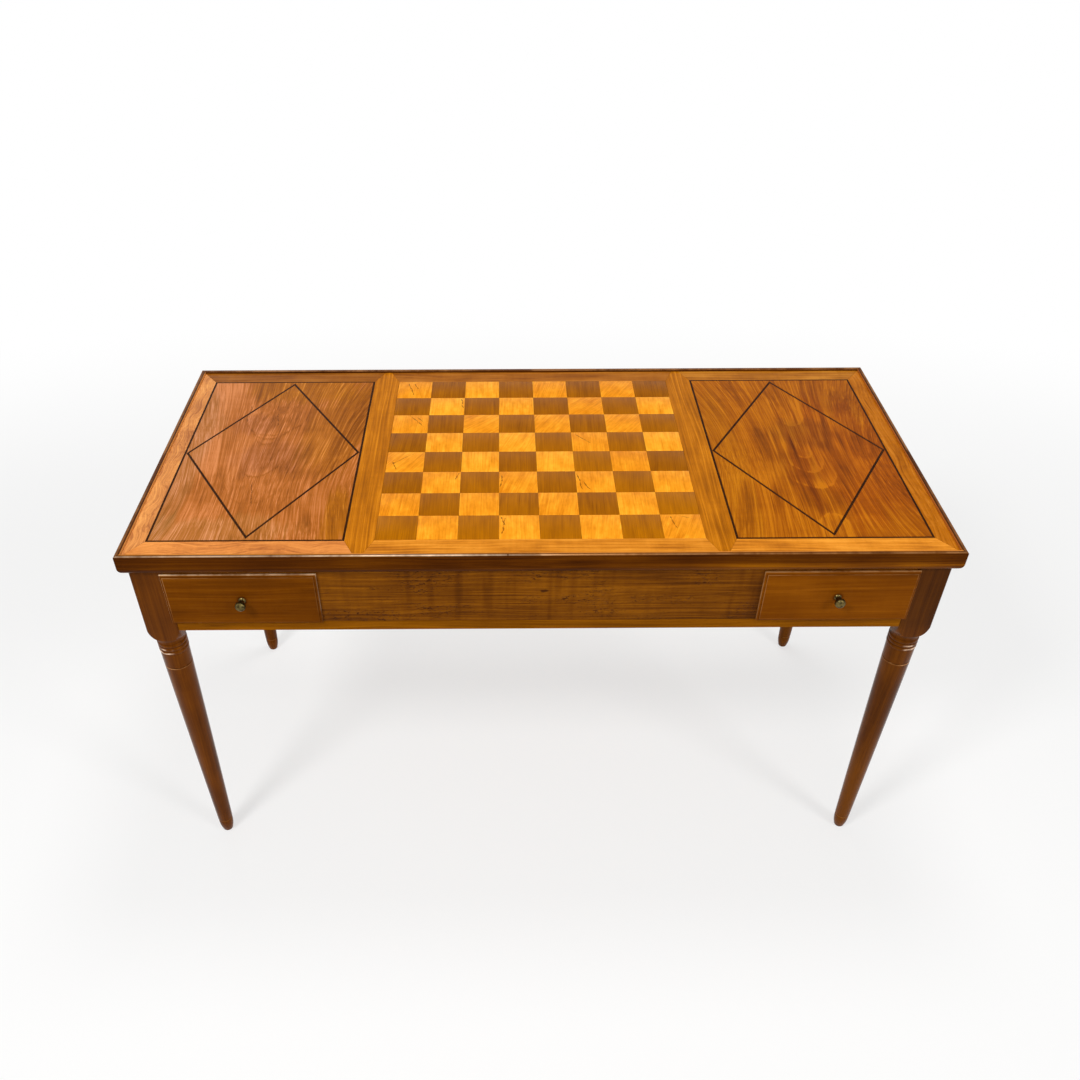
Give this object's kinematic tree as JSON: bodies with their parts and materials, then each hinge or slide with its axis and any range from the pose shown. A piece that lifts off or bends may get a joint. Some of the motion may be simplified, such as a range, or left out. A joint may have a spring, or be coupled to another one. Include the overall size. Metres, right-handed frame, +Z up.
{
  "type": "tric trac table",
  "caption": "Games table on turned tapering legs: a lift-off top with an inlaid chessboard covers a well for tric trac, and drawers open in the front frieze.",
  "frame": {"origin": "centre of the bounding box in plan, at floor level", "axes": "+X to the right along the long side, +Y from the drawer front to the back, +Z up"},
  "size_m": [1.28, 0.6152, 0.695],
  "materials": {
    "core_wood": "matt bare wood",
    "baize": "green wool baize",
    "moulding_wood": "gloss French polish",
    "band_veneer": "gloss French polish",
    "stile_veneer": "gloss French polish",
    "field_veneer": "gloss French polish",
    "stringing": "gloss French polish",
    "chess_veneer": "gloss French polish",
    "frieze_wood": "satin French polish",
    "drawer_wood": "satin French polish",
    "leg_wood": "gloss French polish",
    "lining_wood": "satin wood",
    "floor_wood": "satin wood",
    "secondary_wood": "matt bare wood",
    "knob_brass": "aged brass"
  },
  "bodies": {
    "frame": {"frieze_front": "frieze_wood", "rail_front_bottom": "frieze_wood", "frieze_back": "frieze_wood", "frieze_left": "frieze_wood", "frieze_right": "frieze_wood", "leg_front_left": "leg_wood", "leg_front_right": "leg_wood", "leg_back_left": "leg_wood", "leg_back_right": "leg_wood", "well_floor_left": "floor_wood", "well_floor_right": "floor_wood", "well_band_front": "lining_wood", "well_band_back": "lining_wood", "well_bar": "lining_wood", "well_end_left": "lining_wood", "well_end_right": "lining_wood", "end_cover_left": "lining_wood", "end_cover_right": "lining_wood", "runner_left_inner": "secondary_wood", "runner_left_outer": "secondary_wood", "runner_right_inner": "secondary_wood", "runner_right_outer": "secondary_wood"},
    "top": {"top_core": "core_wood", "baize": "baize", "edge_moulding_front": "moulding_wood", "edge_moulding_right": "moulding_wood", "edge_moulding_back": "moulding_wood", "edge_moulding_left": "moulding_wood", "band_front_left": "band_veneer", "band_front_centre": "band_veneer", "band_front_right": "band_veneer", "band_back_left": "band_veneer", "band_back_centre": "band_veneer", "band_back_right": "band_veneer", "band_left": "band_veneer", "band_right": "band_veneer", "stile_left": "stile_veneer", "stile_right": "stile_veneer", "field_left": "field_veneer", "field_right": "field_veneer", "string_frame_left": "stringing", "string_frame_right": "stringing", "string_lozenge_left": "stringing", "string_lozenge_right": "stringing", "chessboard": "chess_veneer"},
    "drawer_left": {"drawer_left_front": "drawer_wood", "drawer_left_side_inner": "secondary_wood", "drawer_left_side_outer": "secondary_wood", "drawer_left_back": "secondary_wood", "drawer_left_bottom": "secondary_wood", "drawer_left_knob": "knob_brass"},
    "drawer_right": {"drawer_right_front": "drawer_wood", "drawer_right_side_inner": "secondary_wood", "drawer_right_side_outer": "secondary_wood", "drawer_right_back": "secondary_wood", "drawer_right_bottom": "secondary_wood", "drawer_right_knob": "knob_brass"}
  },
  "joints": [
    {"name": "top_lift", "type": "slide", "parent": "frame", "child": "top", "axis": [0, 0, 1], "range_m": [0, 0.25]},
    {"name": "drawer_left_slide", "type": "slide", "parent": "frame", "child": "drawer_left", "axis": [0, -1, 0], "range_m": [0, 0.32]},
    {"name": "drawer_right_slide", "type": "slide", "parent": "frame", "child": "drawer_right", "axis": [0, -1, 0], "range_m": [0, 0.32]}
  ]
}
